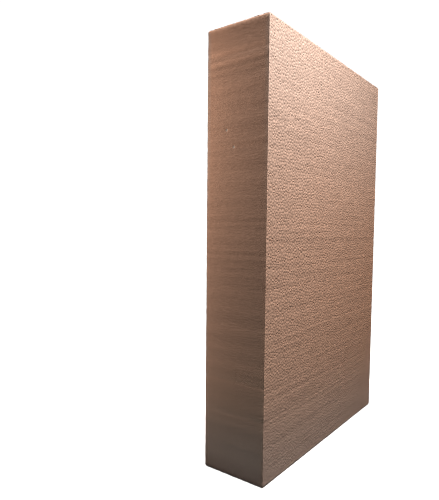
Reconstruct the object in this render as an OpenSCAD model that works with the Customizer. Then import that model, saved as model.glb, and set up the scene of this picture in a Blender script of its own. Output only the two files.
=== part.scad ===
// Block of expanded polystyrene bead foam, sliced from a bigger moulded block with hot
// wires. It is one solid piece. It stands on a small end: X runs across the broad faces,
// Y through the thickness and Z up, and the origin is at the middle of the base.
// A hot wire trembles and slows as it is drawn through the beads, so each face that it
// leaves is a washboard: the path of the wire, carried straight along the wire's length.

/* [Block] */
// Width of the broad faces
block_w = 320; // [160:10:600]
// Thickness, from one broad face to the other
block_t = 80; // [30:5:200]
// Height, standing on a small end
block_h = 500; // [200:10:1000]

/* [Edges] */
// Beads worn off each upright edge, measured along the faces
upright_wear = 1.2; // [0.4:0.1:3]
// Beads worn off the edges round the top and the base
end_wear = 2; // [0.4:0.1:3]

/* [Ripples] */
// Distance between ripples on the broad faces
broad_pitch = 10; // [8:0.5:20]
// Depth of the deepest ripple on the broad faces
broad_depth = 0.2; // [0.05:0.01:0.5]
// Distance between ripples on the narrow sides and on the top
narrow_pitch = 21; // [12:0.5:40]
// Depth of the deepest ripple on the narrow sides and on the top
narrow_depth = 0.25; // [0.05:0.01:0.5]

/* [Wire stops] */
// Width of the line that a slowing wire melts
stop_w = 4; // [4:0.5:8]
// Depth of the line that a slowing wire melts
stop_depth = 0.3; // [0.05:0.05:0.6]

/* [Lost beads] */
// Diameter of one foam bead
bead_d = 3.8; // [2:0.1:6]
// Depth of the pit where a bead has dropped out
pit_depth = 0.9; // [0.3:0.1:1]

/* [Hidden] */

// Heights at which the wires slowed down
broad_stops = [17, 40, 65, 92, 141, 162, 190, 237, 266, 315, 404, 437];
narrow_stops = [72, 110, 252, 288, 369, 455, 468];

// Places of the lost beads: distance in from the front left edge, and height
broad_pits = [[114, 448], [118, 446.5]];
narrow_pits = [[53, 387.5], [43.5, 368.5]];

// Distance between two points of a wire's path, about
path_step = 2;

// A ripple is the sum of three waves: the length of each, in pitches, and its share of
// the depth
wave_pitches = [1, 1.63, 3.37];
wave_shares = [0.5, 0.3, 0.2];

// Where each wire was in its tremble at the start of the cut, in degrees
front_phase = 20;
back_phase = 145;
left_phase = 70;
right_phase = 250;
top_phase = 310;

// How quickly a melted line fades at its sides: at half its width it is a quarter as deep
fade = 2.4;

foam_colour = [0.90, 0.78, 0.70];

// Distances along a cut of some length, from one worn edge to the other
function stations(length) =
    let (
        run = length - 2 * end_wear,
        steps = round(run / path_step)
    )
    [for (i = [0 : steps]) end_wear + run * i / steps];

// Depth of the washboard at a distance along the cut
function ripple(s, pitch, depth, phase) =
    depth / 2 * wave_shares * [
        for (k = [0 : len(wave_pitches) - 1])
            1 - cos(360 * s / (pitch * wave_pitches[k]) + phase * (k + 1))
    ];

// Depth of the melted lines at a distance along the cut: a smooth dip at each stop
function stop_line(s, stops) =
    let (dips = [for (at = stops) exp(-pow(fade * (s - at) / stop_w, 2))])
    len(dips) > 0 ? stop_depth * max(dips) : 0;

// Path of the wire along one face, as [depth, distance], with its highest crest at depth
// zero, which is the flat face that the size is measured to
function wire_path(length, pitch, depth, phase, stops = []) =
    let (
        s_all = stations(length),
        depths = [for (s = s_all) ripple(s, pitch, depth, phase) + stop_line(s, stops)],
        crest = min(depths)
    )
    [for (i = [0 : len(s_all) - 1]) [depths[i] - crest, s_all[i]]];

function reversed(list) = [for (i = [len(list) - 1 : -1 : 0]) list[i]];

// The block seen from its narrow side, between the two wires that cut the broad faces
module broad_cuts() {
    front = wire_path(block_h, broad_pitch, broad_depth, front_phase, broad_stops);
    back = wire_path(block_h, broad_pitch, broad_depth, back_phase, broad_stops);
    outline = concat(
        [[end_wear - block_t / 2, 0]],
        [for (p = front) [p[0] - block_t / 2, p[1]]],
        [[end_wear - block_t / 2, block_h]],
        [[block_t / 2 - end_wear, block_h]],
        [for (p = reversed(back)) [block_t / 2 - p[0], p[1]]],
        [[block_t / 2 - end_wear, 0]]
    );
    rotate([90, 0, 90])
        linear_extrude(block_w, center = true)
            polygon(outline);
}

// The block seen from its broad face, between the wires that cut the sides and the top
module narrow_cuts() {
    left = wire_path(block_h, narrow_pitch, narrow_depth, left_phase, narrow_stops);
    right = wire_path(block_h, narrow_pitch, narrow_depth, right_phase, narrow_stops);
    top = wire_path(block_w, narrow_pitch, narrow_depth, top_phase);
    outline = concat(
        [[end_wear - block_w / 2, 0]],
        [for (p = left) [p[0] - block_w / 2, p[1]]],
        [for (p = top) [p[1] - block_w / 2, block_h - p[0]]],
        [for (p = reversed(right)) [block_w / 2 - p[0], p[1]]],
        [[block_w / 2 - end_wear, 0]]
    );
    rotate([90, 0, 0])
        linear_extrude(block_t, center = true)
            polygon(outline);
}

// The block seen from above, with its upright edges worn
module upright_edges() {
    x = block_w / 2;
    y = block_t / 2;
    linear_extrude(block_h)
        polygon([
            [-x + upright_wear, -y], [x - upright_wear, -y],
            [x, -y + upright_wear], [x, y - upright_wear],
            [x - upright_wear, y], [-x + upright_wear, y],
            [-x, y - upright_wear], [-x, -y + upright_wear]
        ]);
}

// The round hole of a lost bead, sunk to the depth of a pit below the face z = 0
module pit() {
    translate([0, 0, bead_d / 2 - pit_depth])
        sphere(d = bead_d, $fn = 32);
}

module pits() {
    for (p = broad_pits)
        translate([p[0] - block_w / 2, -block_t / 2, p[1]])
            rotate([90, 0, 0])
                pit();
    for (p = narrow_pits)
        translate([-block_w / 2, p[0] - block_t / 2, p[1]])
            rotate([0, -90, 0])
                pit();
}

module foam_block() {
    color(foam_colour)
        difference() {
            intersection() {
                broad_cuts();
                narrow_cuts();
                upright_edges();
            }
            pits();
        }
}

foam_block();
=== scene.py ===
"""Block of expanded polystyrene bead foam, cut with a hot wire, on a white floor."""
import math

import bpy
import numpy as np
from mathutils import Matrix, Vector
from mathutils.geometry import delaunay_2d_cdt


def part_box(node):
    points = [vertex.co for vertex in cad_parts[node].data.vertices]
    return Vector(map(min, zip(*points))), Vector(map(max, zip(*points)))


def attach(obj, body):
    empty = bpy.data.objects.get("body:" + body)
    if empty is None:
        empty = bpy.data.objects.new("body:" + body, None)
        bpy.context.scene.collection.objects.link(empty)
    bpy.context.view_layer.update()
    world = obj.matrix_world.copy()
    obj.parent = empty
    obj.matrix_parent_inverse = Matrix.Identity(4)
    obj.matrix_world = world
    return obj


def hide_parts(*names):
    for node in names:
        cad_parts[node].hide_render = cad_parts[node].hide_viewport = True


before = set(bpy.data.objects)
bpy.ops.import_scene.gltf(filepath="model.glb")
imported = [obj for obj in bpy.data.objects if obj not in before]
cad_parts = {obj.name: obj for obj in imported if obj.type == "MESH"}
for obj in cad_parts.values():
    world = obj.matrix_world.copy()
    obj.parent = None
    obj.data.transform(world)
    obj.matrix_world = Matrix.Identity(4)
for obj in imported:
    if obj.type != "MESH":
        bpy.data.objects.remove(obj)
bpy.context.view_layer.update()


# --- Camera -----------------------------------------------------------------------------
# It stands off the block's front left edge, a little above the middle of the height, and
# looks slightly down. Its place is counted from the foot of that edge, in block heights.

box_lo, box_hi = (np.array(corner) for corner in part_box("foam_block"))
block_w, block_t, block_h = box_hi - box_lo

CAMERA_FROM_FOOT = np.array([-0.8373, -0.5184, 0.5573])
CAMERA_HEADING = math.radians(51.989)
CAMERA_PITCH = math.radians(-3.701)
CAMERA_ROLL = math.radians(0.477)
IMAGE_PX = (439, 500)
CENTRE_PX = (214.72, 260.21)
FOCAL_PX = 469.83

ahead = Vector((
    math.cos(CAMERA_PITCH) * math.sin(CAMERA_HEADING),
    math.cos(CAMERA_PITCH) * math.cos(CAMERA_HEADING),
    math.sin(CAMERA_PITCH),
))
level_right = Vector((math.cos(CAMERA_HEADING), -math.sin(CAMERA_HEADING), 0))
level_up = level_right.cross(ahead)
right = math.cos(CAMERA_ROLL) * level_right + math.sin(CAMERA_ROLL) * level_up
up = math.cos(CAMERA_ROLL) * level_up - math.sin(CAMERA_ROLL) * level_right

lens = bpy.data.cameras.new("camera")
lens.lens = lens.sensor_width * FOCAL_PX / max(IMAGE_PX)
lens.shift_x = (IMAGE_PX[0] / 2 - CENTRE_PX[0]) / max(IMAGE_PX)
lens.shift_y = (CENTRE_PX[1] - IMAGE_PX[1] / 2) / max(IMAGE_PX)
lens.clip_start, lens.clip_end = 0.01, 100
camera = bpy.data.objects.new("camera", lens)
camera.matrix_world = (
    Matrix.Translation(box_lo + CAMERA_FROM_FOOT * block_h)
    @ Matrix((right, up, -ahead)).transposed().to_4x4()
)
bpy.context.scene.collection.objects.link(camera)
bpy.context.scene.camera = camera


# --- Foam block -------------------------------------------------------------------------
# One slab of expanded polystyrene: beads a few millimetres across, blown up with steam
# until they filled the mould and welded together. Hot wires cut its faces: on the broad
# ones each bead shows as a low facetted dome, and the narrow ones have a smoother skin.

MM = 0.001
SMALL = 1e-6
SEED = 11
random = np.random.default_rng(SEED)
X, Y, Z = np.eye(3)

# Beads lie a little wider apart than the part's, which are 3.8 mm across, because finer
# ones are lost when the noise of a render is cleaned away. The wire drew them out by the
# stretch, and each strays by up to so many pitches before it settles.
BEAD_PITCH = 4.0 * MM
DRAG_STRETCH = 1.12
STRAY = 0.6
SETTLE_PASSES = 2
PAST_BORDER = 3
EDGE_STEP = 2.2 * MM
EDGE_MARGIN = 0.9 * MM
SKIN_STEPS = (6 * MM, 2 * MM)

# Depths and widths of the wear, how far it varies, and the holes that lost beads leave. The
# ends wear to about a quarter round, cut back by these shares of its radius at the edge and
# half way in to the flat face.
END_WEAR = 2.2 * MM
ROUND_EDGE, ROUND_MIDDLE = 0.293 * END_WEAR, 0.076 * END_WEAR
UPRIGHT_WEAR = 0.1 * MM
WEAR_SPREAD, DROP_SPREAD, SEAM_SPREAD = (0.5, 1.5), (0, 2), (0.7, 1.3)
PIT_RADIUS, PIT_DEPTH = 1.7 * MM, 0.25 * MM
PIT_CORNERS, PIT_CLEAR = 12, 1.3
INNER_RING, INNER_DEPTH = 0.6, 0.7
BORDER, SHOULDER, CENTRE, MEETING, SKIN, PIT = range(6)


def triangles_between(points, outline):
    """Delaunay triangles between points, in an outline where one is given."""
    filled = 1 if outline else 0
    found = delaunay_2d_cdt([Vector(p) for p in points], [], outline, filled, SMALL, False)
    return np.array(found[2])


def bead_centres(length, height):
    """Centres of the beads on a flat face, run past its borders: a honeycomb with every
    centre moved at random, and then a few times to the middle of the triangles round it,
    as beads settle when they swell against each other. The wire drew them out along it."""
    drag = np.array([DRAG_STRETCH, 1 / DRAG_STRETCH])
    row_pitch = BEAD_PITCH * math.sqrt(3) / 2
    columns, rows = (np.array([length, height]) / drag / (BEAD_PITCH, row_pitch)).astype(int) + 1
    row, column = np.mgrid[-PAST_BORDER:rows + PAST_BORDER, -PAST_BORDER:columns + PAST_BORDER]
    centres = np.stack([(column + row % 2 / 2) * BEAD_PITCH, row * row_pitch], axis=-1)
    centres = centres.reshape(-1, 2)
    centres += random.uniform(-STRAY, STRAY, centres.shape) * BEAD_PITCH
    for _ in range(SETTLE_PASSES):
        corners = triangles_between(centres, [])
        middles = np.repeat(centres[corners].mean(axis=1), 3, axis=0)
        touching = np.bincount(corners.ravel(), minlength=len(centres))
        centres = np.stack([
            np.bincount(corners.ravel(), middles[:, axis], len(centres)) / touching
            for axis in (0, 1)
        ], axis=1)
    return centres * drag


def rim(length, height, inset):
    """Points round a rectangle, anticlockwise and an edge step apart, inset from its
    border by one distance along it and another up it."""
    size = np.array([length, height]) - 2 * np.array(inset)
    steps = np.round(np.array([length, height]) / EDGE_STEP)
    across, upward = (np.arange(n) / n for n in steps)
    return inset + size * np.concatenate([
        np.stack([across, 0 * across], 1), np.stack([0 * upward + 1, upward], 1),
        np.stack([1 - across, 0 * across + 1], 1), np.stack([0 * upward, 1 - upward], 1),
    ])


def spread(length, height, steps):
    """Rows of points over a rectangle, at most one step apart along it and one up it."""
    across, upward = (
        np.linspace(0, size, math.ceil(size / step) + 1)
        for size, step in zip((length, height), steps))
    return np.stack(np.meshgrid(across, upward), axis=-1).reshape(-1, 2)


def pit_points(pit):
    """Rings of points in the round hole of a lost bead, with the depth of each: a shallow
    bowl, a little fuller than a cap of a sphere."""
    angles = np.arange(PIT_CORNERS) * math.tau / PIT_CORNERS
    ring = np.stack([np.cos(angles), np.sin(angles)], 1)
    return (
        np.concatenate([pit + ring * PIT_RADIUS, pit + ring * PIT_RADIUS * INNER_RING, [pit]]),
        np.concatenate([0 * angles, 0 * angles + PIT_DEPTH * INNER_DEPTH, [PIT_DEPTH]]),
    )


def worn_rows(length, height, all_round):
    """Points half way along the worn round of the ends, and where it meets the flat face,
    in two rows at each end or, on the top, in two rings."""
    if all_round:
        return np.concatenate([rim(length, height, (d, d)) for d in (END_WEAR / 2, END_WEAR)])
    across = np.arange(EDGE_MARGIN, length - EDGE_MARGIN, EDGE_STEP)
    up = [END_WEAR / 2, END_WEAR, height - END_WEAR, height - END_WEAR / 2]
    return np.stack(np.meshgrid(across, up), axis=-1).reshape(-1, 2)


def face_net(length, height, kind, pits):
    """Points on a flat face, the role of each, the depth of the pits there, and the
    triangles. Each bead is a fan from its centre to the points where its seams meet, which
    are the middles of the triangles between the centres of three beads."""
    border = rim(length, height, (0, 0))
    outline = [list(range(len(border)))]
    if kind == "base":
        return (border, np.full(len(border), BORDER), np.zeros(len(border)),
                triangles_between(border, outline))

    if kind == "skin":
        inner = {SKIN: spread(length, height, SKIN_STEPS)}
    else:
        centres = bead_centres(length, height)
        inner = {CENTRE: centres, MEETING: centres[triangles_between(centres, [])].mean(axis=1)}
    low = np.array([EDGE_MARGIN if kind != "top" else END_WEAR + EDGE_MARGIN,
                    END_WEAR + EDGE_MARGIN])
    high = np.array([length, height]) - low
    parts = [(BORDER, border, np.zeros(len(border)))]
    rows = worn_rows(length, height, kind == "top")
    parts.append((SHOULDER, rows, np.zeros(len(rows))))
    for role, points in inner.items():
        keep = np.all((points > low) & (points < high), axis=1)
        for pit in pits:
            keep &= np.linalg.norm(points - pit, axis=1) > PIT_RADIUS * PIT_CLEAR
        parts.append((role, points[keep], np.zeros(keep.sum())))
    parts += [(PIT, *pit_points(pit)) for pit in pits]
    points = np.concatenate([p[1] for p in parts])
    return (points, np.repeat([p[0] for p in parts], [len(p[1]) for p in parts]),
            np.concatenate([p[2] for p in parts]), triangles_between(points, outline))


FRONT_PITS = np.array([(114, 448), (118, 446.5)]) * MM
LEFT_PITS = np.array([(27, 387.5), (36.5, 368.5)]) * MM
FACES = [
    # kind, lower left corner from outside, ways along, up and out, way the wire travelled
    ("beads", (0, 0, 0), X, Z, -Y, Z, FRONT_PITS),
    ("skin", (block_w, 0, 0), Y, Z, X, Z, []),
    ("beads", (block_w, block_t, 0), -X, Z, Y, Z, []),
    ("skin", (0, block_t, 0), -Y, Z, -X, Z, LEFT_PITS),
    ("top", (0, 0, block_h), X, Y, Z, X, []),
    ("base", (0, block_t, 0), X, -Y, -Z, X, []),
]

# The part's own corners within these distances of a face and of its edge are on the path
# of the wire. On the faces of beads the ripples keep only this share of their depth.
NEAR_FACE = 0.7 * MM
NEAR_EDGE = 3 * MM
BEAD_BLUR = 0.7
cad_points = np.array([v.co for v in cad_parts["foam_block"].data.vertices])


def wire_depth(points, out, travel):
    """Depth that the wire cut below the flat face at each point. The path is read off the
    part's own corners near the ends of the wire, and runs straight from one to the next."""
    along_wire = np.abs(np.cross(out, travel))
    depth = (cad_points @ out).max() - cad_points @ out
    end = np.abs(cad_points @ along_wire) > (cad_points @ along_wire).max() - NEAR_EDGE
    path = end & (depth < NEAR_FACE)
    order = np.argsort(cad_points[path] @ travel)
    return np.interp(points @ travel, (cad_points[path] @ travel)[order], depth[path][order])


faces = []
first = 0
for kind, corner, along, upward, out, travel, pits in FACES:
    length, height = (abs((box_hi - box_lo) @ way) for way in (along, upward))
    flat, role, pit, fans = face_net(length, height, kind, pits)
    place = box_lo + corner + flat @ np.stack([along, upward])
    wire = wire_depth(place, out, travel) if kind != "base" else np.zeros(len(flat))
    wire *= BEAD_BLUR if kind == "beads" else 1
    faces.append((place, np.outer(np.ones(len(flat)), out), fans + first, role, wire, pit,
                  np.full(len(flat), kind == "skin"), np.full(len(fans), kind == "skin")))
    first += len(flat)
points, outs, triangles, role, wire, pit, skin, skin_face = (
    np.concatenate(parts) for parts in zip(*faces))

# The faces share the points on the block's edges
_, first_of, shared = np.unique(
    np.round(points / SMALL).astype(int), axis=0, return_index=True, return_inverse=True)
shared = shared.ravel()
triangles = shared[triangles]
out_sum, wire_move = np.zeros((2, len(first_of), 3))
np.add.at(out_sum, shared, outs)
np.add.at(wire_move, shared, outs * wire[:, None])
points, role, wire, pit, skin = (part[first_of] for part in (points, role, wire, pit, skin))
count = len(points)
upright = (role == BORDER) & (np.abs(out_sum[:, 2]) < 0.5)
level = points[:, 2] - box_lo[2]
from_end = np.minimum(level, block_h - level)
half_way = from_end < END_WEAR * 0.75

# Seams are shallower near the foot. That is matched to how they look, and has no known
# cause in the foam.
SEAM_DEPTH = 0.57 * MM
FOOT_SEAM, SEAM_START = 0.8, 0.62
seam_share = np.clip(SEAM_START + level / block_h, FOOT_SEAM, 1)
BEAD_DROP = 0.12 * MM
SHOULDER_DROP = 0.3 * MM
depth = pit + np.select(
    [upright, role == BORDER, role == SHOULDER, role == CENTRE, role == MEETING],
    [
        UPRIGHT_WEAR * random.uniform(*WEAR_SPREAD, count),
        ROUND_EDGE * random.uniform(*WEAR_SPREAD, count),
        ROUND_MIDDLE * random.uniform(*WEAR_SPREAD, count) * half_way
        + SHOULDER_DROP * random.uniform(*DROP_SPREAD, count) * ~skin,
        BEAD_DROP * random.uniform(*DROP_SPREAD, count),
        SEAM_DEPTH * random.uniform(*SEAM_SPREAD, count) * seam_share,
    ],
)
moved = wire_move + out_sum * depth[:, None]
moved[points[:, 2] < box_lo[2] + SMALL, 2] = 0
points = points - moved

mesh = bpy.data.meshes.new("foam_block_beads")
mesh.from_pydata(points, [], triangles)
ends = np.zeros(len(mesh.edges) * 2, int)
mesh.edges.foreach_get("vertices", ends)
ends = ends.reshape(-1, 2)
mesh.edges.foreach_set(
    "use_edge_sharp", (role[ends] == BORDER).all(axis=1) & upright[ends].any(axis=1))
worn_face = ((role[triangles] == BORDER) & ~upright[triangles]).any(axis=1)
mesh.polygons.foreach_set("use_smooth", skin_face | worn_face)
is_centre = role[triangles] == CENTRE
owner = triangles[np.arange(len(triangles)), is_centre.argmax(axis=1)]
tone = np.where(is_centre.any(axis=1), random.normal(0, 1, count)[owner], 0)

# Marks of the wire, as height and half width in mm and the change of tone
NARROW_MARKS = [
    (489, 5, -0.12), (471, 2.5, 0.32), (465, 1.5, -0.1), (460, 2.5, 0.25),
    (454.5, 2, -0.16), (446.5, 2, -0.16), (434, 3, 0.1), (370.5, 2, 0.12), (365, 2, -0.08),
    (327, 3, 0.07), (290.5, 1.5, 0.1), (258, 4, 0.1), (250.5, 2, -0.14), (235.5, 2.5, -0.09),
    (220.5, 2.5, 0.08), (112.5, 3, 0.22), (106.5, 2, -0.14), (73.5, 3, 0.25), (67, 3, -0.12),
]
BROAD_MARKS = [
    (406, 2, 0.06), (402, 2, -0.07), (318, 2, 0.1), (314, 2, -0.1), (264.5, 1.5, -0.16),
    (164.5, 1.5, 0.1), (40, 1.5, 0.08),
]

# Shades of the same form that are no marks on the foam. They, the fall toward the left at
# the top and the greys stand for light that the lamps don't give, held in the colour.
NARROW_SHADES = [(450, 40, 0.05), (130, 50, 0.1), (8, 25, 0.25)]
BROAD_SHADES = [(500, 1.6, -0.25), (330, 70, 0.035), (140, 150, 0.12)]
TOP_FALL, TOP_FALL_SPAN = 0.1, 45 * MM
NARROW_GREY, NARROW_GREY_FRONT = 0.12, 0.13
NARROW_GREY_FOOT, NARROW_FOOT_SPAN = 0.6, 60 * MM
BROAD_GREY_LEFT = 0.17
BROAD_GREY_TOP, BROAD_TOP_SPAN = 0.42, 170 * MM
BROAD_GREY_FOOT, BROAD_FOOT_SPAN = 0.38, 75 * MM

# Change of tone for each mm that the wire cut deeper, and how far its drag shows: a share
# on every side, and more toward the top of the narrow ones
WIRE_TONE = 0.05
DRAG_SHARE, DRAG_RISE = 0.2, 0.6


def bump_at(distance, half_width):
    """A smooth bump: exp(-(distance / half width) squared)."""
    return np.exp(-(distance / half_width) ** 2)


def tones_at(height, bands):
    """Sum of the bands' changes of tone at heights in mm, each a smooth bump."""
    return sum(gain * bump_at(height - at, half) for at, half, gain in bands)


to_left = (box_hi[0] - points[:, 0]) / block_w
to_front = (box_hi[1] - points[:, 1]) / block_t
from_top = block_h - level
# Marks of the wire, together with painted light and shade: the shades, the dark rim at the top
# and the fall toward the left at the top
bands = np.where(
    skin,
    tones_at(level / MM, NARROW_MARKS + NARROW_SHADES),
    tones_at(level / MM, BROAD_MARKS + BROAD_SHADES)
    - TOP_FALL * to_left * bump_at(from_top, TOP_FALL_SPAN),
)
# Painted light: the share of a greyer colour, for the colour of the light. On the narrow sides
# it grows toward the front and the foot, on the broad ones toward the left, the top and the
# foot.
narrow_painted_grey = (
    NARROW_GREY + NARROW_GREY_FRONT * to_front
    + NARROW_GREY_FOOT * bump_at(level, NARROW_FOOT_SPAN))
broad_painted_grey = (
    BROAD_GREY_LEFT * to_left + BROAD_GREY_TOP * bump_at(from_top, BROAD_TOP_SPAN)
    + BROAD_GREY_FOOT * bump_at(level, BROAD_FOOT_SPAN))
values = {
    # 1 where seams meet, for the painted shade in the seams
    "seam": 1.0 * (role == MEETING),
    "beads": 1.0 * ~skin,
    # Painted highlight in the holes of lost beads on the narrow sides
    "pit_highlight": 1.0 * ((pit > 0) & skin),
    "wire_mark_and_painted_light": WIRE_TONE * wire / MM + bands,
    "drag": DRAG_SHARE + np.where(skin, DRAG_RISE * level / block_h, 0),
    "painted_grey_share": np.where(skin, narrow_painted_grey, broad_painted_grey),
}
for name, value in values.items():
    mesh.attributes.new(name, "FLOAT", "POINT").data.foreach_set("value", value)
mesh.attributes.new("tone", "FLOAT", "FACE").data.foreach_set("value", tone)
mesh.update()
beads = bpy.data.objects.new("foam_block_beads", mesh)
bpy.context.scene.collection.objects.link(beads)
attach(beads, "root")
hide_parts("foam_block")


def linear(hex_colour):
    """sRGB hex to the linear colour that shaders take, with alpha 1."""
    srgb = np.array([int(hex_colour[i:i + 2], 16) for i in (1, 3, 5)]) / 255
    low, high = srgb / 12.92, ((srgb + 0.055) / 1.055) ** 2.4
    return (*np.where(srgb <= 0.04045, low, high), 1)


def node(tree, kind, settings=None, **links):
    """Adds a node, sets what settings names, and links or sets its inputs, by name or by
    number after an underscore. A node that is given as a value is its first output."""
    made = tree.nodes.new(kind)
    for name, value in (settings or {}).items():
        setattr(made, name, value)
    for name, value in links.items():
        key = int(name[1:]) if name[1:].isdigit() else name.replace("_", " ")
        if isinstance(value, bpy.types.Node):
            value = value.outputs[0]
        if isinstance(value, bpy.types.NodeSocket):
            tree.links.new(value, made.inputs[key])
        else:
            made.inputs[key].default_value = value
    return made


# Expanded polystyrene: IOR of the plastic, and a matt, faintly glazed skin where the wire
# melted it. Seams are a little darker, which is painted shade between the beads. Such foam
# is most likely white: these colours hold part of the warmth of the light on it.
WARM_FOAM, PAINTED_GREY_LIGHT, PIT_HIGHLIGHT_COLOUR = "#EDB99B", "#E2D6D0", "#FCF1E7"
material = bpy.data.materials.new("expanded_polystyrene")
material.use_nodes = True
tree = material.node_tree
shader = tree.nodes["Principled BSDF"]
shader.inputs["Roughness"].default_value = 0.8
shader.inputs["IOR"].default_value = 1.59
shader.inputs["Specular IOR Level"].default_value = 0.2
place = node(tree, "ShaderNodeTexCoord").outputs["Object"]
at_point = {
    name: node(tree, "ShaderNodeAttribute", {"attribute_name": name}).outputs["Fac"]
    for name in (*values, "tone")
}

# Patches of lighter and darker foam, by their length and height in mm and the finer layers
# added. Those of the drag and the streaks lie along the wire, which is level on every side.
# The mottle is wider than a bead, and the specks are smaller.
PATCHES = {
    "long_drag": (45, 4.5, 1.0),
    "short_drag": (7, 2.4, 1.0),
    "streak": (130, 1.4, 0.0),
    "mottle": (6.4, 6.4, 2.0),
    "speck": (1.6, 1.6, 0.0),
}
MULTIPLY = {"operation": "MULTIPLY"}
patch = {}
for name, (long_way, tall, detail) in PATCHES.items():
    squeeze = (1 / (long_way * MM), 1 / (long_way * MM), 1 / (tall * MM))
    squeezed = node(tree, "ShaderNodeVectorMath", MULTIPLY, _0=place, _1=squeeze)
    noise = node(tree, "ShaderNodeTexNoise", Vector=squeezed, Scale=1.0, Detail=detail)
    patch[name] = node(
        tree, "ShaderNodeMath", {"operation": "SUBTRACT"}, _0=noise.outputs["Fac"], _1=0.5)
drag = node(tree, "ShaderNodeMath", {"operation": "ADD"},
            _0=patch["long_drag"], _1=patch["short_drag"])

# Each of these brightens or darkens the foam, by so much for each unit
brightness = 1.0
for amount, gain in (
    # Painted shade: darker toward the seams between the beads
    (node(tree, "ShaderNodeMath", {"operation": "POWER"}, _0=at_point["seam"], _1=2.0), -0.15),
    (at_point["tone"], 0.04),
    # Marks of the wire, with painted light and shade in the same attribute
    (at_point["wire_mark_and_painted_light"], 1.0),
    (node(tree, "ShaderNodeMath", MULTIPLY, _0=drag, _1=at_point["drag"]), 0.2),
    (node(tree, "ShaderNodeMath", MULTIPLY, _0=patch["mottle"], _1=at_point["drag"]), 0.5),
    (node(tree, "ShaderNodeMath", MULTIPLY, _0=patch["streak"], _1=at_point["beads"]), 0.4),
    (patch["speck"], 0.3),
):
    change = node(tree, "ShaderNodeMath", {"operation": "MULTIPLY_ADD"}, _0=amount, _1=gain,
                  _2=1.0)
    brightness = node(tree, "ShaderNodeMath", MULTIPLY, _0=brightness, _1=change)
# Painted light: the warm colour turns greyer by the painted grey share
tinted = node(tree, "ShaderNodeMix", {"data_type": "RGBA"}, _0=at_point["painted_grey_share"],
              _6=linear(WARM_FOAM), _7=linear(PAINTED_GREY_LIGHT))
# Painted highlight: the holes of lost beads on the narrow sides turn pale
pit_highlighted = node(tree, "ShaderNodeMix", {"data_type": "RGBA"}, _0=at_point["pit_highlight"],
              _6=tinted.outputs[2], _7=linear(PIT_HIGHLIGHT_COLOUR))
colour = node(tree, "ShaderNodeMix", {"data_type": "RGBA", "blend_type": "MULTIPLY"}, _0=1.0,
              _6=pit_highlighted.outputs[2], _7=brightness)
tree.links.new(colour.outputs[2], shader.inputs["Base Color"])
DRAG_RELIEF = 0.25 * MM
relief = node(tree, "ShaderNodeBump", Strength=at_point["drag"], Distance=DRAG_RELIEF,
              Height=drag)
tree.links.new(relief.outputs[0], shader.inputs["Normal"])
beads.data.materials.append(material)


# --- Floor and backdrop -----------------------------------------------------------------
# A white sweep. To the camera it glows, more so further from the block. With the light of
# the lamps that takes it to white or past it even in the block's shadow, so none shows. It
# throws no more light on the block than dark grey paper would, and the backdrop almost none.

FLOOR_SIZE = 40
FLOOR_GAP = 0.02 * MM
floor_mesh = bpy.data.meshes.new("floor")
corners = np.array([(-1, -1, 0), (1, -1, 0), (1, 1, 0), (-1, 1, 0)]) * FLOOR_SIZE / 2
floor_mesh.from_pydata(corners - (0, 0, FLOOR_GAP), [], [(0, 1, 2, 3)])
floor = bpy.data.objects.new("floor", floor_mesh)
bpy.context.scene.collection.objects.link(floor)


def seen_directly(tree):
    """1 where a ray comes from the camera, or from a mirror or glass, and 0 elsewhere."""
    rays = node(tree, "ShaderNodeLightPath").outputs
    some = node(tree, "ShaderNodeMath", {"operation": "MAXIMUM"}, _0=rays["Is Camera Ray"],
                _1=rays["Is Glossy Ray"])
    return node(tree, "ShaderNodeMath", {"operation": "MAXIMUM"}, _0=some,
                _1=rays["Is Transmission Ray"])


NEAR_GLOW, FAR_GLOW = 0.86, 1.05
NEAR_RADIUS, FAR_RADIUS = 0.35, 1.0
PAPER_SEEN, PAPER_THROWING, WHITE = "#E8E8E8", "#484542", "#FFFFFF"
floor_material = bpy.data.materials.new("white_paper")
floor_material.use_nodes = True
tree = floor_material.node_tree
tree.nodes.clear()
place = node(tree, "ShaderNodeTexCoord").outputs["Object"]
radius = node(tree, "ShaderNodeVectorMath", {"operation": "LENGTH"}, _0=place)
glow = node(tree, "ShaderNodeMapRange", {"clamp": True}, Value=radius.outputs["Value"],
            From_Min=NEAR_RADIUS, From_Max=FAR_RADIUS, To_Min=NEAR_GLOW, To_Max=FAR_GLOW)
seen = seen_directly(tree)
strength = node(tree, "ShaderNodeMath", MULTIPLY, _0=glow, _1=seen)
shade = node(tree, "ShaderNodeMix", {"data_type": "RGBA"}, _0=seen,
             _6=linear(PAPER_THROWING), _7=linear(PAPER_SEEN))
paper = node(tree, "ShaderNodeBsdfDiffuse", Color=shade.outputs[2])
light = node(tree, "ShaderNodeEmission", Color=linear(WHITE), Strength=strength)
both = node(tree, "ShaderNodeAddShader", _0=paper, _1=light)
node(tree, "ShaderNodeOutputMaterial", Surface=both)
floor.data.materials.append(floor_material)

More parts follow.
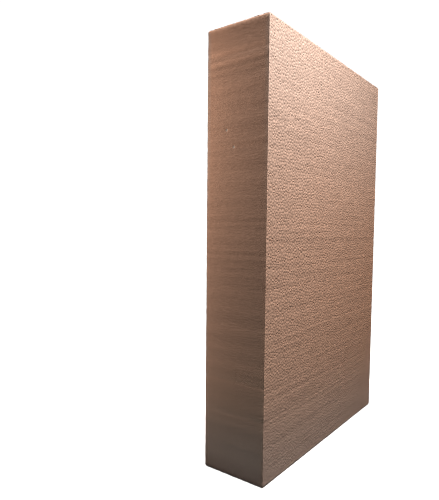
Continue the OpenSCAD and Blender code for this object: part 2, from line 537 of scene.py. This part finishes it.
FILL_STRENGTH = 0.004
world = bpy.data.worlds.new("studio")
bpy.context.scene.world = world
world.use_nodes = True
tree = world.node_tree
tree.nodes.clear()
fill = node(tree, "ShaderNodeBackground", Color=linear(WHITE), Strength=FILL_STRENGTH)
white = node(tree, "ShaderNodeBackground", Color=linear(WHITE), Strength=FAR_GLOW)
mixed = node(tree, "ShaderNodeMixShader", _0=seen_directly(tree), _1=fill, _2=white)
node(tree, "ShaderNodeOutputWorld", Surface=mixed)


# --- Lamps ------------------------------------------------------------------------------
# A soft lamp above the front left edge grazes the broad face, and one above the back right
# edge grazes the back. A weak one fills the front, tall ones light the left side from
# behind, and a little cool light comes up from the floor there.


def lamp(name, place, target, size, watts, colour):
    """Rectangular area lamp, as wide and as tall as size says, at a place and turned to a
    target. All are in block heights, and places are from the foot of the front left edge."""
    light = bpy.data.lights.new(name, "AREA")
    light.shape = "RECTANGLE"
    light.size, light.size_y = np.array(size) * block_h
    light.energy, light.color = watts, linear(colour)[:3]
    made = bpy.data.objects.new(name, light)
    start = Vector(box_lo + np.array(place) * block_h)
    end = Vector(box_lo + np.array(target) * block_h)
    made.matrix_world = (
        Matrix.Translation(start) @ (end - start).to_track_quat("-Z", "Y").to_matrix().to_4x4())
    made.visible_camera = False
    bpy.context.scene.collection.objects.link(made)


lamp("key_lamp", (0, -0.464, 1.561), (0.3, 0, 0.4), (0.2, 0.2), 3.393, "#FFF7EF")
lamp("front_lamp", (-0.1, -0.45, 0.35), (0.1, 0, 0.3), (0.2, 0.3), 0.026, "#F6FFFF")
lamp("left_lamp", (-0.12, 0.52, 1.1), (0.3, 0.36, 1.1), (0.1, 1.27), 0.404, "#FFD6C3")
lamp("middle_left_lamp", (-0.12, 0.52, 0.8), (0.3, 0.36, 0.8), (0.1, 0.5), 0.658, "#FFEFDE")
lamp("low_left_lamp", (-0.06, 0.24, 0.3), (0, 0.1, 0.3), (0.04, 0.4), 0.009, "#FFFAF7")
lamp("floor_lamp", (-0.3, 0.1, 0.01), (-0.3, 0.1, 1), (0.4, 0.4), 0.018, "#D3FFFF")
lamp("back_lamp", (0.8, 0.624, 1.561), (0.34, 0.16, 0.4), (0.2, 0.2), 2.4, "#FFF7EF")

bpy.context.scene.view_settings.view_transform = "Standard"
bpy.context.scene.cycles.denoising_input_passes = "RGB"
bpy.context.scene.cycles.filter_width = 1.0
